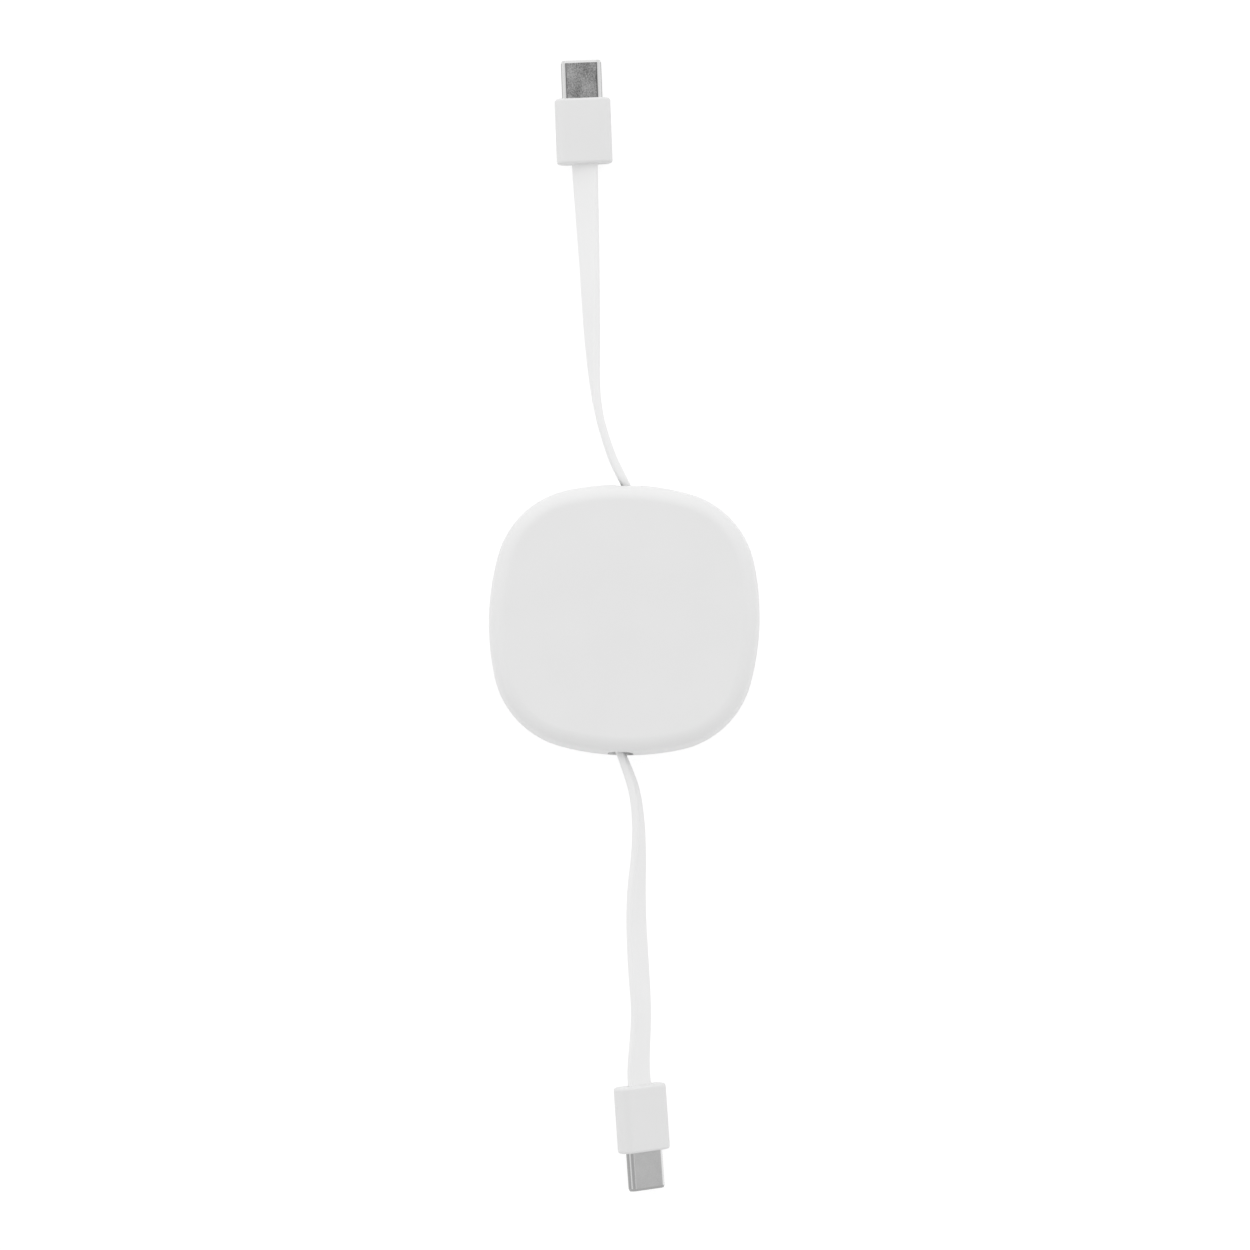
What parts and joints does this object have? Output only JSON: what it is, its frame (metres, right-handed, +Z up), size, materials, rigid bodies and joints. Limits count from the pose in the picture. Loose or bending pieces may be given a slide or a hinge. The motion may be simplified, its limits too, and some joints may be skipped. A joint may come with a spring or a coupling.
{
  "type": "retractable usb-c charging cable",
  "caption": "Retractable USB-C charging cable: a rounded-square reel case with a flat ribbon lead pulling out of each of two opposite sides, each lead ending in a plug.",
  "frame": {"origin": "middle of the case's underside", "axes": "+Z up through the case's flat top, +Y from the case towards plug A, +X to the right seen from above"},
  "size_m": [0.055, 0.2303, 0.0132],
  "materials": {
    "case_plastic": "white moulded plastic, fine satin texture",
    "reel_plastic": "natural acetal",
    "spring_steel": "blued spring strip",
    "ribbon_jacket": "soft white jacket, smooth",
    "ball_steel": "polished",
    "grip_plastic": "soft white moulding, satin",
    "plug_steel": "nickel plate over a blasted flat",
    "insulator_plastic": "black, satin",
    "contact_gold": "gold plate",
    "latch_steel": "bright spring steel",
    "board_laminate": "green solder mask",
    "mould_plastic": "plain inner moulding"
  },
  "bodies": {
    "case": {"top_cover": "case_plastic", "base_shell": "case_plastic", "power_spring": "spring_steel"},
    "reel": {"reel": "reel_plastic", "cable_winding": "ribbon_jacket"},
    "ball": {"ratchet_ball": "ball_steel"},
    "plug_a": {"lead_a": "ribbon_jacket", "plug_a_grip": "grip_plastic", "plug_a_shell": "plug_steel", "plug_a_insulator": "insulator_plastic", "plug_a_contacts_upper": "contact_gold", "plug_a_contacts_lower": "contact_gold", "plug_a_latches": "latch_steel", "plug_a_ground_springs": "latch_steel", "plug_a_board": "board_laminate", "plug_a_inner_mould": "mould_plastic"},
    "plug_b": {"lead_b": "ribbon_jacket", "plug_b_grip": "grip_plastic", "plug_b_shell": "plug_steel", "plug_b_insulator": "insulator_plastic", "plug_b_contacts_upper": "contact_gold", "plug_b_contacts_lower": "contact_gold", "plug_b_latches": "latch_steel", "plug_b_ground_springs": "latch_steel", "plug_b_board": "board_laminate", "plug_b_inner_mould": "mould_plastic"}
  },
  "joints": [
    {"name": "reel_turn", "type": "hinge", "parent": "case", "child": "reel", "pos_m": [0, 0, 0], "axis": [0, 0, 1], "range_deg": [-179, 1375], "deforming": ["power_spring", "cable_winding"]},
    {"name": "lead_a_pull", "type": "slide", "parent": "case", "child": "plug_a", "axis": [-0.1627, 0.9867, 0], "range_m": [-0.05, 0.384], "deforming": ["lead_a"]},
    {"name": "lead_b_pull", "type": "slide", "parent": "case", "child": "plug_b", "axis": [0.0872, -0.9962, 0], "range_m": [-0.05, 0.384], "deforming": ["lead_b"]},
    {"name": "ball_shift", "type": "slide", "parent": "case", "child": "ball", "axis": [-1, 0, 0], "range_m": [0, 0.0045]}
  ],
  "couplings": [
    {"joint": "lead_a_pull", "follows": "reel_turn", "m_per_rad": 0.016},
    {"joint": "lead_b_pull", "follows": "reel_turn", "m_per_rad": 0.016}
  ]
}
